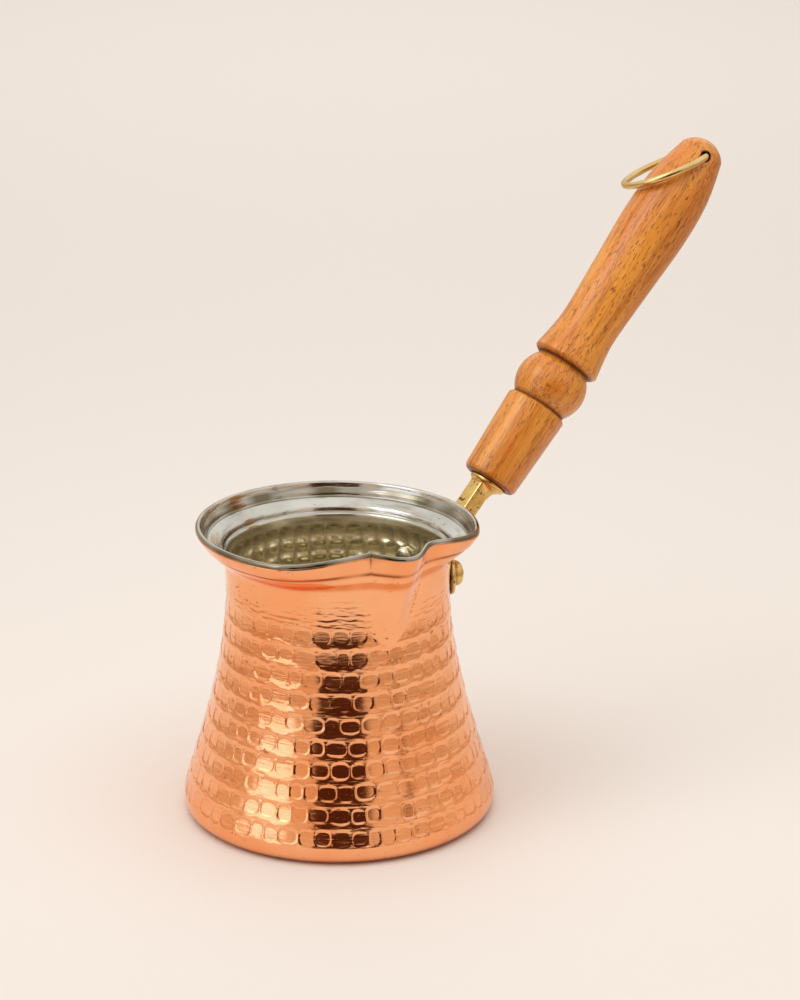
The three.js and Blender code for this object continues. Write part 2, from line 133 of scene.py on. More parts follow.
def bezier(points, count):
    t = np.linspace(0, 1, count)[:, None]
    p = np.array(points, float)
    if len(p) == 3:
        return (1 - t) ** 2 * p[0] + 2 * t * (1 - t) * p[1] + t ** 2 * p[2]
    return (1 - t) ** 3 * p[0] + 3 * t * (1 - t) ** 2 * p[1] + 3 * t ** 2 * (1 - t) * p[2] + t ** 3 * p[3]


def arc(centre, radius, start, end, count):
    a = np.linspace(start, end, count)
    return np.stack([centre[0] + radius * np.cos(a), centre[1] + radius * np.sin(a)], 1)


def catmull(points, count):
    p = np.array(points, float)
    p = np.vstack([p[0], p, p[-1]])
    out = []
    for i in range(1, len(p) - 2):
        t = np.linspace(0, 1, count, endpoint=False)[:, None]
        a, b, c, d = p[i - 1:i + 3]
        out.append(0.5 * (2 * b + (c - a) * t + (2 * a - 5 * b + 4 * c - d) * t ** 2
                          + (3 * b - a - 3 * c + d) * t ** 3))
    return np.vstack([*out, p[-2][None]])


def resample(line, spacing):
    """Points along a polyline, with one wanted step or one for each of its points."""
    step = np.linalg.norm(np.diff(line, axis=0), axis=1)
    keep = np.concatenate([[True], step > 1e-9])
    line, spacing = line[keep], np.broadcast_to(spacing, len(line))[keep]
    step = np.linalg.norm(np.diff(line, axis=0), axis=1)
    weight = np.concatenate([[0], np.cumsum(step / ((spacing[1:] + spacing[:-1]) / 2))])
    wanted = np.linspace(0, weight[-1], int(math.ceil(weight[-1])) + 1)
    return np.stack([np.interp(wanted, weight, line[:, k]) for k in range(line.shape[1])], 1)


def soften(line, sigma, step=0.05):
    """A polyline with its corners rounded by about sigma, its ends kept."""
    fine = resample(line, step)
    reach = int(4 * sigma / step)
    kernel = np.exp(-0.5 * (np.arange(-reach, reach + 1) * step / sigma) ** 2)
    kernel /= kernel.sum()
    padded = np.vstack([2 * fine[0] - fine[reach:0:-1], fine, 2 * fine[-1] - fine[-2:-reach - 2:-1]])
    return np.stack([np.convolve(padded[:, k], kernel, "valid") for k in range(2)], 1)


def configure(thing, **settings):
    for name, value in settings.items():
        setattr(thing, name, value)
    return thing


def new_object(name, data):
    made = bpy.data.objects.new(name, data)
    bpy.context.scene.collection.objects.link(made)
    return made


def add_mesh(name, vertices, faces, material, smooth=True):
    mesh = bpy.data.meshes.new(name)
    mesh.from_pydata((np.array(vertices, float) * MM).tolist(), [], faces)
    mesh.validate()
    mesh.materials.append(material)
    mesh.polygons.foreach_set("use_smooth", np.full(len(mesh.polygons), smooth))
    return new_object(name, mesh)


def grid_mesh(name, rings, material):
    """A closed mesh from an array of rings (rows, columns, 3), with a pole at each end."""
    rows, columns = rings.shape[:2]
    here = np.arange(columns)
    beside = (here + 1) % columns
    faces = []
    for low in range(0, (rows - 1) * columns, columns):
        high = low + columns
        faces += np.stack([low + here, low + beside, high + beside, high + here], 1).tolist()
    last = (rows - 1) * columns
    pole = np.full(columns, rows * columns)
    faces += np.stack([beside, here, pole], 1).tolist()
    faces += np.stack([last + here, last + beside, pole + 1], 1).tolist()
    vertices = np.vstack([rings.reshape(-1, 3), rings[0].mean(0), rings[-1].mean(0)])
    return add_mesh(name, vertices, faces, material)


def turned(r, z, angle):
    """Rings about Z from a column of radii and the heights on them."""
    return np.stack([r * np.cos(angle), r * np.sin(angle), z + 0 * angle], 2)


def lathe(name, profile, steps, material, matrix=None):
    """Profile rows of (radius, height) turned about Z, from the lower pole to the upper one."""
    made = grid_mesh(name, turned(profile[:, :1], profile[:, 1:], full_turn(steps)), material)
    if matrix is not None:
        made.data.transform(matrix)
    return made


def set_attribute(made, name, values):
    layer = made.data.attributes.new(name, "FLOAT", "POINT")
    full = np.zeros(len(made.data.vertices), np.float32)
    full[:len(values)] = values
    layer.data.foreach_set("value", full)


def set_rows(made, name, rings, first, values, elsewhere=0.0):
    """Values from 0 to 1 on a grid's rows from the first one on, and one value on its other rows."""
    full = np.full(rings.shape[:2], elsewhere)
    full[first:first + len(values)] = np.clip(values, 0, 1)
    set_attribute(made, name, full.ravel())


def give_material(made, material):
    made.data.materials.clear()
    made.data.materials.append(material)


def vertex_places(made):
    return np.array([v.co for v in made.data.vertices]) / MM


def face_outwards(made):
    mesh = bmesh.new()
    mesh.from_mesh(made.data)
    bmesh.ops.recalc_face_normals(mesh, faces=mesh.faces)
    mesh.to_mesh(made.data)
    mesh.free()
    return made


def apply_modifiers(made):
    bpy.context.view_layer.update()
    graph = bpy.context.evaluated_depsgraph_get()
    mesh = bpy.data.meshes.new_from_object(made.evaluated_get(graph))
    made.modifiers.clear()
    made.data = mesh
    return made


# Camera

camera_data = configure(bpy.data.cameras.new("camera"), lens=109.44, sensor_width=36, clip_start=0.01)
camera = new_object("camera", camera_data)
camera.location = (-0.5057, -0.7787, 0.4214)
camera.rotation_euler = Euler((math.radians(71.2255), 0, math.radians(-34.2465)))
bpy.context.scene.camera = camera


# Materials

class NodeTools:
    """Short calls for building a node tree."""

    def __init__(self, owner):
        owner.use_nodes = True
        self.tree = owner.node_tree

    def place(self, socket, value):
        """Sets an input from another node's output, a colour or a number."""
        if isinstance(value, bpy.types.NodeSocket):
            self.tree.links.new(value, socket)
        else:
            socket.default_value = (*value, 1) if isinstance(value, tuple) else value

    def add(self, kind, inputs=(), **settings):
        """A new node with its settings, and inputs given by name or number."""
        node = configure(self.tree.nodes.new(kind), **settings)
        for key, value in dict(inputs).items():
            self.place(node.inputs[key], value)
        return node

    def math(self, operation, a, b=0.0, clamp=False):
        return self.add("ShaderNodeMath", {0: a, 1: b}, operation=operation, use_clamp=clamp).outputs[0]

    def times(self, a, b):
        return self.math("MULTIPLY", a, b)

    def ramp(self, fac, low, high, from_value=0.0, to_value=1.0):
        inputs = {"Value": fac, "From Min": low, "From Max": high, "To Min": from_value, "To Max": to_value}
        node = self.add("ShaderNodeMapRange", inputs, clamp=True, interpolation_type="SMOOTHSTEP")
        return node.outputs["Result"]

    def mix(self, fac, a, b):
        node = self.add("ShaderNodeMix", data_type="RGBA")
        self.place(node.inputs["Factor"], fac)
        colors = {s.name: s for s in node.inputs if s.type == "RGBA"}
        self.place(colors["A"], a)
        self.place(colors["B"], b)
        return next(s for s in node.outputs if s.type == "RGBA")

    def azimuth_from(self, x, y, centre):
        """Degrees from a centre azimuth, -180 to 180."""
        c, s = math.cos(math.radians(centre)), math.sin(math.radians(centre))
        ahead = self.math("ADD", self.times(x, c), self.times(y, s))
        aside = self.math("SUBTRACT", self.times(y, c), self.times(x, s))
        return self.times(self.math("ARCTAN2", aside, ahead), 180 / math.pi)


class MaterialNodes(NodeTools):
    """A material's nodes. Scales are per metre, and bump distances are in metres."""

    def __init__(self, name):
        self.material = bpy.data.materials.new(name)
        super().__init__(self.material)
        self.shader = self.tree.nodes["Principled BSDF"]
        self.coords = self.add("ShaderNodeTexCoord").outputs["Object"]

    def mapped(self, scale, turn=(0, 0, 0), shift=(0, 0, 0)):
        """Object coordinates turned back by turn and then multiplied by scale."""
        node = self.add("ShaderNodeMapping", {"Vector": self.coords}, vector_type="TEXTURE")
        node.inputs["Scale"].default_value = [1 / k for k in scale]
        node.inputs["Rotation"].default_value = turn
        node.inputs["Location"].default_value = shift
        return node.outputs["Vector"]

    def noise(self, vector, scale, detail=2.0, roughness=0.5, distortion=0.0):
        inputs = {"Vector": vector, "Scale": scale, "Detail": detail, "Roughness": roughness,
                  "Distortion": distortion}
        return self.add("ShaderNodeTexNoise", inputs).outputs["Fac"]

    def attribute(self, name):
        return self.add("ShaderNodeAttribute", attribute_name=name).outputs["Fac"]

    def without(self, amount):
        return self.math("SUBTRACT", 1.0, amount, clamp=True)

    def tint(self, color, over, where, share):
        """A colour with another laid over it, to a share, where the marks are."""
        return self.mix(self.times(where, share), color, over)

    def bump(self, height, distance, strength=1.0):
        inputs = {"Height": height, "Distance": distance, "Strength": strength}
        return self.add("ShaderNodeBump", inputs).outputs["Normal"]

    def finish(self, **inputs):
        """The material, with its shader's inputs set by name."""
        for name, value in inputs.items():
            self.place(self.shader.inputs[name.replace("_", " ")], value)
        return self.material


def copper_material():
    fresh = (1.0, 0.475, 0.235)
    ruddy = (0.98, 0.405, 0.175)
    spot = (0.32, 0.085, 0.03)
    reflected_red = (0.88, 0.27, 0.075)
    shade_red = (0.30, 0.075, 0.022)
    n = MaterialNodes("copper")
    cloud = n.noise(n.coords, 45, 3, 0.55)
    streaks = n.noise(n.mapped((55, 55, 1500)), 1, 3, 0.6)
    fine = n.noise(n.mapped((160, 160, 3800)), 1, 2, 0.6)
    specks = n.noise(n.mapped((420, 420, 900)), 1, 2, 0.6)
    patches = n.noise(n.coords, 130, 2, 0.5)
    mark = n.times(n.ramp(specks, 0.62, 0.70), n.ramp(patches, 0.46, 0.64))
    color = n.mix(n.ramp(cloud, 0.35, 0.7), fresh, ruddy)
    color = n.tint(color, spot, mark, 0.75)
    # Painted reflection: deeper red where the copper reflects copper, under the crease and on the flare
    color = n.mix(n.attribute("painted_reflection"), color, reflected_red)
    # Painted shade: darker in the crease, round the base and on the marks' outlines
    color = n.mix(n.attribute("painted_shade"), color, shade_red)
    rough = n.math("ADD", n.ramp(streaks, 0.3, 0.75, 0.07, 0.15), n.times(mark, 0.25))
    height = n.times(n.math("ADD", streaks, n.times(fine, 0.35)), n.attribute("streak"))
    return n.finish(Base_Color=color, Roughness=rough, Metallic=1.0, Normal=n.bump(height, 0.00005))


def tin_material():
    """Wiped tin: grey and rubbed on the rim, yellower and duller down inside, where depth is 1."""
    rim_pale = (0.66, 0.635, 0.575)
    rim_grey = (0.50, 0.475, 0.41)
    wall_pale = (0.94, 0.85, 0.61)
    wall_deep = (0.85, 0.75, 0.50)
    rub_mark = (0.27, 0.24, 0.18)
    bare_copper = (0.50, 0.20, 0.09)
    pinhole = (0.16, 0.13, 0.09)
    shade_olive = (0.17, 0.14, 0.085)
    n = MaterialNodes("tin")
    cloud = n.ramp(n.noise(n.coords, 60, 3, 0.6), 0.3, 0.75)
    rub = n.noise(n.mapped((60, 60, 900)), 1, 3, 0.6)
    spots = n.noise(n.coords, 420, 2, 0.55)
    depth = n.attribute("depth")
    color = n.mix(depth, n.mix(cloud, rim_pale, rim_grey), n.mix(cloud, wall_pale, wall_deep))
    color = n.mix(n.times(n.ramp(rub, 0.5, 0.7, 0.0, 0.55), n.without(depth)), color, rub_mark)
    worn = n.times(n.ramp(spots, 0.54, 0.68), n.attribute("wear"))
    color = n.tint(color, bare_copper, worn, 0.7)
    color = n.tint(color, pinhole, n.ramp(spots, 0.70, 0.76), 0.6)
    # Painted shade: darker in the rim's corners and on the wall under the ledge
    color = n.mix(n.attribute("painted_shade"), color, shade_olive)
    rough = n.math("ADD", n.ramp(rub, 0.3, 0.75, 0.08, 0.16), n.times(depth, 0.06))
    height = n.times(rub, n.math("SUBTRACT", 1.15, depth))
    metallic = n.math("SUBTRACT", 1.0, n.times(depth, 0.15))
    return n.finish(Base_Color=color, Roughness=rough, Metallic=metallic, Normal=n.bump(height, 0.00012))


def brass_material(name, light, deep, *, rough, pits_from, pit_depth, stains):
    """Brass with a range of roughness. Pits and stains show where the attribute cast is 1."""
    stain_brown = (0.40, 0.23, 0.06)
    pit_brown = (0.09, 0.045, 0.01)
    shade_brown = (0.10, 0.05, 0.012)
    n = MaterialNodes(name)
    cloud = n.noise(n.coords, 140, 3, 0.6)
    grain = n.noise(n.coords, 1500, 3, 0.6)
    pits = n.noise(n.coords, 470, 1.5, 0.5)
    stain = n.noise(n.coords, 380, 3, 0.65)
    cast = n.attribute("cast")
    pit = n.times(n.ramp(pits, pits_from, pits_from + 0.05), cast)
    color = n.mix(n.ramp(cloud, 0.3, 0.7), light, deep)
    color = n.tint(color, stain_brown, n.ramp(stain, 0.5, 0.72, 0.0, stains), cast)
    color = n.tint(color, pit_brown, pit, 0.85)
    # Painted shade where the attribute is set: next to the neck and in the rivets' tool marks and feet
    color = n.mix(n.attribute("painted_shade"), color, shade_brown)
    height = n.math("SUBTRACT", n.times(grain, 0.3), pit)
    return n.finish(Base_Color=color, Roughness=n.ramp(cloud, 0.3, 0.7, *rough), Metallic=1.0,
                    Normal=n.bump(height, pit_depth, 0.8))


def wood_material(turn):
    """Varnished wood with its grain along the handle, which turn brings to the texture's Z."""
    golden = (0.86, 0.33, 0.04)
    reddish = (0.66, 0.19, 0.016)
    blotch_brown = (0.56, 0.135, 0.008)
    band_brown = (0.46, 0.105, 0.006)
    fibre_gold = (0.95, 0.47, 0.09)
    pore_brown = (0.15, 0.035, 0.006)
    groove_shade = (0.085, 0.014, 0.002)
    n = MaterialNodes("wood")

    def grain(stretch, scale, detail, roughness, distortion=0.0, shift=(0, 0, 0)):
        return n.noise(n.mapped((1, 1, stretch), turn, shift), scale, detail, roughness, distortion)

    wavy = grain(0.1, 110, 2, 0.5, 0.3)
    bands = grain(0.04, 520, 3, 0.6, 0.3)
    fibre = grain(0.02, 2600, 3, 0.6)
    blotch = grain(0.35, 70, 2, 0.5, shift=(0.1, 0.6, 0.2))
    flecks = grain(0.15, 2700, 0.5, 0.4, shift=(0.2, 0.1, 0.3))
    lines = grain(0.06, 1900, 1, 0.5, shift=(0.7, 0.4, 0.9))
    density = grain(0.25, 150, 2, 0.5, shift=(0.5, 0.5, 0))
    short_pores = n.times(n.ramp(flecks, 0.63, 0.70), n.ramp(density, 0.28, 0.52))
    pores = n.math("MAXIMUM", short_pores, n.times(n.ramp(lines, 0.66, 0.72), 0.6))
    color = n.mix(n.ramp(wavy, 0.3, 0.72), golden, reddish)
    color = n.tint(color, blotch_brown, n.ramp(blotch, 0.45, 0.7), 0.65)
    color = n.tint(color, band_brown, n.ramp(bands, 0.46, 0.66), 0.6)
    color = n.tint(color, fibre_gold, n.ramp(fibre, 0.42, 0.75), 0.45)
    color = n.tint(color, pore_brown, pores, 0.75)
    # Painted shade in the grooves, in the hole and at the end on the collar, where the coat is also left
    # off
    color = n.mix(n.attribute("painted_shade"), color, groove_shade)
    height = n.math("SUBTRACT", n.times(fibre, 0.15), pores)
    return n.finish(Base_Color=color, Roughness=n.ramp(bands, 0.3, 0.8, 0.42, 0.55), Metallic=0.0,
                    Specular_IOR_Level=0.1, Normal=n.bump(height, 0.00008, 0.7),
                    Coat_Weight=n.times(n.without(n.attribute("painted_shade")), 0.9),
                    Coat_Roughness=0.2, Coat_IOR=1.48)


def steel_material(turn):
    pale = (0.55, 0.55, 0.54)
    grey = (0.42, 0.42, 0.41)
    n = MaterialNodes("steel")
    brushed = n.noise(n.mapped((1, 1, 0.05), turn), 900, 2, 0.5)
    return n.finish(Base_Color=n.mix(brushed, pale, grey), Roughness=n.ramp(brushed, 0.3, 0.7, 0.3, 0.45),
                    Metallic=1.0, Normal=n.bump(brushed, 0.00003))


copper = copper_material()
tin = tin_material()
cast_brass = brass_material("cast_brass", (0.80, 0.54, 0.19), (0.66, 0.41, 0.12),
                            rough=(0.13, 0.26), pits_from=0.66, pit_depth=0.0002, stains=0.5)
brass_wire = brass_material("brass_wire", (0.80, 0.58, 0.25), (0.68, 0.48, 0.18),
                            rough=(0.14, 0.22), pits_from=0.85, pit_depth=0.00002, stains=0.3)
grain_turn = (0, math.pi / 2 - HANDLE_LEAN, 0)
wood = wood_material(grain_turn)
steel = steel_material(grain_turn)


# Pot outline, outer side, with the sizes of the solids and softer corners

def outer_line():
    shoulder_end = np.array([BASE_R - SHOULDER_R * (1 - math.cos(SHOULDER_TURN)),
                             BASE_EDGE + SHOULDER_R * math.sin(SHOULDER_TURN)])
    leave = np.array([-math.sin(SHOULDER_TURN), math.cos(SHOULDER_TURN)])
    return np.vstack([
        [[0, 0]],
        arc((BASE_R - BASE_EDGE, BASE_EDGE), BASE_EDGE, -math.pi / 2, 0, 24),
        arc((BASE_R - SHOULDER_R, BASE_EDGE), SHOULDER_R, 0, SHOULDER_TURN, 12),
        bezier([shoulder_end, shoulder_end + FLANK_LOW_PULL * leave,
                (NECK_R, NECK_Z - FLANK_HIGH_PULL), (NECK_R, NECK_Z)], 120),
        bezier([(NECK_R, NECK_Z), (NECK_R + 0.1, NECK_Z + 5), (36.9, CREASE_Z - 5.6)], 20),
        bezier([(36.9, CREASE_Z - 5.6), (37.4, CREASE_Z - 3.3), (39.4, CREASE_Z - 2.3)], 20),
        bezier([(39.4, CREASE_Z - 2.3), (41.0, CREASE_Z - 1.5), (42.1, CREASE_Z - 0.2)], 12),
        [(42.0, CREASE_Z + 0.15), (42.3, CREASE_Z + 0.4), (43.4, CREASE_Z + 0.75)],
        bezier([(43.4, CREASE_Z + 0.75), (44.8, CREASE_Z + 2.4), (45.95, CREASE_Z + 4.4)], 10),
        [(46.0, CREASE_Z + 4.75), (45.75, CREASE_Z + 4.9), (45.6, CREASE_Z + 5)],
    ])


OUTER = outer_line()
WALL_TOP_Z = 83


def outer_radius(z):
    upper = OUTER[OUTER[:, 0] > 1]
    order = np.argsort(upper[:, 1], kind="stable")
    return np.interp(z, upper[order, 1], upper[order, 0])


def wall_line(depth):
    """The outline from the base to the neck, moved into the sheet, from the floor up."""
    line = resample(OUTER[OUTER[:, 1] <= WALL_TOP_Z], 0.5)
    step = np.gradient(line, axis=0)
    step /= np.linalg.norm(step, axis=1)[:, None]
    moved = line + depth * np.stack([-step[:, 1], step[:, 0]], 1)
    return moved[moved[:, 0] > 1]


def inner_line():
    """Visible side of the lining, from the rim's outer edge over its top and down to the floor."""
    return np.vstack([
        [(45.9, RIM_Z - 0.45), (46.0, RIM_Z - 0.2), (46.0, RIM_Z)],
        bezier([(46.0, RIM_Z), (45.95, RIM_Z + 0.55), (45.6, RIM_Z + 0.9)], 8),
        bezier([(45.6, RIM_Z + 0.9), (45.2, RIM_Z + 1.22), (44.75, RIM_Z + 1.08)], 8),
        bezier([(44.75, RIM_Z + 1.08), (44.4, RIM_Z + 0.95), (44.28, RIM_Z + 0.4)], 6),
        bezier([(44.28, RIM_Z + 0.4), (44.1, RIM_Z - 0.8), (43.4, RIM_Z - 1.6)], 8),
        bezier([(43.4, RIM_Z - 1.6), (42.7, RIM_Z - 2.2), (42.5, RIM_Z - 3.3)], 8),
        [(42.2, RIM_Z - 3.6), (41.7, RIM_Z - 3.5), (41.1, RIM_Z - 3.6)],
        [(38.1, RIM_Z - 5.0)],
        bezier([(38.1, RIM_Z - 5.0), (37.3, RIM_Z - 5.4), (37.1, RIM_Z - 6.3)], 8),
        [(36.95, RIM_Z - 7)],
        bezier([(36.8, RIM_Z - 7.3), (36.1, RIM_Z - 7.5), (35.8, RIM_Z - 8.4)], 8),
        [(35.4, RIM_Z - 10.4)],
        wall_line(LINING_DEPTH)[::-1],
    ])


# The pouring channel: angles in degrees from the spout, and its width and middle as it climbs

CHANNEL_HALF = 17.4
CHANNEL_TAPER = 0.45
CHANNEL_FOOT_AT = -8.5
CHANNEL_TURNS = 7.8
RIDGE_HALF = 0.72
FOLD_AT = 0.95
FOLD_WIDTH = 0.13
FOLD_DEPTH = 0.9
FOLD_RISE = 0.3


def climb_of(z):
    """0 at the channel's foot, 1 at the rim."""
    return np.clip((z - CHANNEL_FOOT_Z) / (RIM_Z - CHANNEL_FOOT_Z), 0, 1)


def channel_half(z):
    """Half the channel's width, which is never quite 0."""
    return CHANNEL_HALF * np.maximum(climb_of(z), 0.004) ** CHANNEL_TAPER


def spout_side(z, angle):
    """Distance from the channel's middle line, in half widths of the channel: below 0 is to its left."""
    middle = CHANNEL_FOOT_AT + CHANNEL_TURNS * climb_of(z)
    return (np.degrees(angle) - middle) / channel_half(z)


def on_pot(r, z, angle):
    """Places of the outline's points (r, z) at angles from the spout, with the rim pinched in."""
    r, z = r[:, None], z[:, None]
    climb = climb_of(z)
    side = spout_side(z, angle)
    ridge = bell(side, 0, RIDGE_HALF)
    share = np.clip((outer_radius(z) - NECK_R) / (RIM_R - NECK_R), 0, 1) * (z > NECK_Z)
    around = SPOUT_AT + angle
    pinch = 1 - smoothstep(np.abs(angle), PINCH_IN, np.where(angle < 0, PINCH_LEFT, PINCH_RIGHT))
    fold = np.exp(-np.abs(side + FOLD_AT) / FOLD_WIDTH) * climb ** 6
    radius = r - share * (PINCH_DEPTH * pinch + FOLD_DEPTH * fold) + climb * CHANNEL_DEPTH * ridge
    lift = PINCH_RISE * pinch + FOLD_RISE * fold - LIP_DROP * ridge - RIM_LEAN * np.cos(around)
    height = z + share * lift
    return np.stack([radius * np.cos(around), radius * np.sin(around), height], 2)


def channel_panel(z, angle):
    """1 on the smooth panel of the channel, 0 on the hammered sheet beside it."""
    side = np.abs(spout_side(z[:, None], angle))
    return (1 - smoothstep(side, 0.85, 1.12)) * smoothstep(z[:, None], CHANNEL_FOOT_Z, CHANNEL_FOOT_Z + 3)


def channel_creases(z, angle):
    """Fold lines along the channel: a sharp one on the right and a short one on the left."""
    z = z[:, None]
    half = channel_half(z)
    side = spout_side(z, angle) * half
    right = bell(side, half, 0.9) * plateau(z, 72, 82, 92.5, 95.5)
    left = np.exp(-np.abs(side + half * FOLD_AT) / 0.9) * smoothstep(z, 82, 90)
    soft = bell(side, -half, 2.2) * plateau(z, 68, 72, 80, 88)
    foot = bell(z, 67.2, 1.0) * bell(side, -2, 4)
    return -0.34 * right - 0.36 * left - 0.26 * soft - 0.28 * foot


def grid_normals(points):
    """Normals of a grid of rings: around crossed with the way from row to row."""
    up = np.gradient(points, axis=0)
    around = np.roll(points, -1, axis=1) - np.roll(points, 1, axis=1)
    normal = np.cross(around, up)
    return normal / np.maximum(np.linalg.norm(normal, axis=2, keepdims=True), 1e-12)


# Hammer marks: belts of shallow round-cornered marks with raised, streaky bands between them

COPPER_DEPTH = 0.6
LINING_UNDER = 0.7
LINING_DEPTH = 1.6
BELT_LOW_Z = 9.55
BELT_PITCH = 7.21
BELTS = 10
FACET_DEPTH = 0.17
FACET_CORNER = 2.7
BOWL_DEPTH = 0.8
BOWL_CORNER = 2.4
BOWL_HALF_HEIGHT = 2.9
STREAKS = ((1.0, 0.012), (1.45, 0.018), (2.1, 0.026))
STREAKS_TOP_Z = 87
FLARE_FROM_Z = 86
FLAT_BASE_R = 46
POT_COLUMNS = 960
LINING_COLUMNS = 680


def periodic(angle, terms, seed):
    """A smooth random function of the angle, about -1 to 1."""
    draw = np.random.default_rng(seed)
    total = np.zeros_like(angle)
    for k in range(1, terms + 1):
        total += draw.normal() * np.sin(k * angle + draw.uniform(0, TAU))
    return total / math.sqrt(terms)


def climb_from_belts(r, z):
    """Length along the outline from the lowest belt, upwards."""
    path = np.concatenate([[0], np.cumsum(np.hypot(np.diff(r), np.diff(z)))])
    flank = (z < NECK_Z + 4) & (r > NECK_R - 3)
    order = np.argsort(z[flank])
    start = np.interp(BELT_LOW_Z, z[flank][order], path[flank][order])
    upwards = 1 if z[-1] > z[0] else -1
    return (path - start) * upwards


def facet(u, v, draws, lean):
    """A flat mark with rounded corners, steep sides and a tilt of its own. It leans up near the neck."""
    q = (np.abs(u) ** FACET_CORNER + np.abs(v) ** FACET_CORNER) ** (1 / FACET_CORNER)
    sunk = 1 - smoothstep(q, 0.82, 1.03)
    depth = FACET_DEPTH * np.clip(1 + 0.35 * draws[0], 0.3, 1.5)
    tilt = 0.05 * draws[1] * u + (0.045 * draws[2] + 0.11 * lean) * v
    hollow = 0.03 * (1 - np.clip(q, 0, 1) ** 2)
    edge = bell(q, 0.97, 0.07) * np.clip(0.7 + 0.4 * draws[1] - 0.3 * u - 0.3 * v, 0, 1)
    return -sunk * (depth + tilt + hollow), edge


def bowl(u, v, draws, _lean):
    """A round hollow, deepest in its middle."""
    q = (np.abs(u / 0.98) ** BOWL_CORNER + np.abs(v) ** BOWL_CORNER) ** (1 / BOWL_CORNER)
    slant = 1 + 0.06 * draws[1] * u + 0.06 * draws[2] * v
    return -BOWL_DEPTH * (1 + 0.03 * draws[0]) * np.clip(1 - q ** 2.5, 0, None) * slant, 0 * q


# Lengths in mm. widths is the range of a mark's share, and stagger 1 sets the belts like bricks
FACETS = dict(form=facet, seed=21, belts=BELTS, pitch=BELT_PITCH, width=5.75, half_height=2.6,
              widths=(0.72, 1.3), lift=0.2, raise_by=0.18, stagger=0)
BOWLS = dict(form=bowl, seed=64, belts=15, pitch=5.34, width=6.0, half_height=BOWL_HALF_HEIGHT,
             widths=(0.88, 1.12), lift=0.04 * BOWL_HALF_HEIGHT, raise_by=0.0, stagger=1)


def hammered(climb, r, angle, *, form, seed, belts, pitch, width, half_height, widths, lift,
             raise_by, stagger):
    """Displacement in mm, and the marks' outlines, over lengths along the outline and angles."""
    draw = np.random.default_rng(seed)
    height = np.zeros((len(climb), len(angle)))
    outline = np.zeros_like(height)
    order = np.argsort(climb)
    wave = 0.22 * periodic(angle, 5, seed + 1) + 0.12 * periodic(angle, 17, seed + 2)
    ripple = 0.3 * periodic(angle, 70, seed + 4)
    for belt in range(belts):
        centre = belt * pitch
        count = int(round(TAU * np.interp(centre, climb[order], r[order]) / width))
        spread = draw.uniform(*widths, count)
        edges = np.concatenate([[0], np.cumsum(spread)]) / spread.sum() * TAU - math.pi
        shift = draw.uniform(0, TAU / count) + stagger * (belt % 2) * math.pi / count
        where = (angle - shift + math.pi) % TAU - math.pi
        index = np.clip(np.searchsorted(edges, where, side="right") - 1, 0, count - 1)
        half = (edges[index + 1] - edges[index]) / 2
        u = (where - edges[index] - half) / half
        raised = draw.normal(0, lift, count)[index]
        tall = draw.uniform(0.9, 1.1, count)[index] * half_height
        draws = draw.normal(0, 1, (3, count))[:, index]
        near = np.abs(climb - centre) < pitch * 0.8
        v = (climb[near][:, None] - centre - raised - wave) / tall
        sunk, edge = form(u, v, draws, smoothstep(belt, belts - 4, belts - 1))
        fade = 0.8 if belt == belts - 1 else 1.0
        height[near] += fade * sunk
        outline[near] = np.maximum(outline[near], edge)
    # Bands raised half way between one belt and the next
    between = (climb[:, None] - wave - ripple) / pitch
    phase = np.abs(between - np.floor(between) - 0.5)
    ridge = np.clip(1 - np.sqrt((phase / 0.2) ** 2 + 0.02), 0, None)
    uneven = 0.85 + 0.3 * periodic(angle + 1.7 * np.floor(between + 0.5), 40, seed + 9)
    bands = raise_by * plateau(between, -0.95, -0.7, belts - 1, belts - 0.5) * uneven * ridge
    return height + bands, outline


def above_base(climb):
    return smoothstep(climb, -5.5, -3)


def belt_zone(climb):
    top = BELTS * BELT_PITCH
    return (above_base(climb) * (1 - smoothstep(climb, top - 6, top + 3)))[:, None]


def streak_relief(climb, angle, seed):
    """Wavy level lines, as a raised sheet keeps from its planishing."""
    total = np.zeros((len(climb), len(angle)))
    for k, (length, size) in enumerate(STREAKS):
        bend = 1.3 * periodic(angle, 42, seed + 3 * k)
        gain = 0.5 + 0.5 * np.tanh(2 * periodic(angle + 0.5 * k * climb[:, None], 31, seed + 50 + k))
        total += size * gain * np.sin(TAU * climb[:, None] / length + bend + 7 * k)
    return total


def spacing_along(line, flank_step):
    """Wanted steps along an outline: finest in the flare and the rim, widest under the base."""
    r, z = line[:, 0], line[:, 1]
    step = np.full(len(line), flank_step)
    step[z > FLARE_FROM_Z] = 0.28
    step[(z < 6.5) & (r > FLAT_BASE_R)] = 0.5
    step[(z < 3) & (r <= FLAT_BASE_R)] = 2.5
    return step


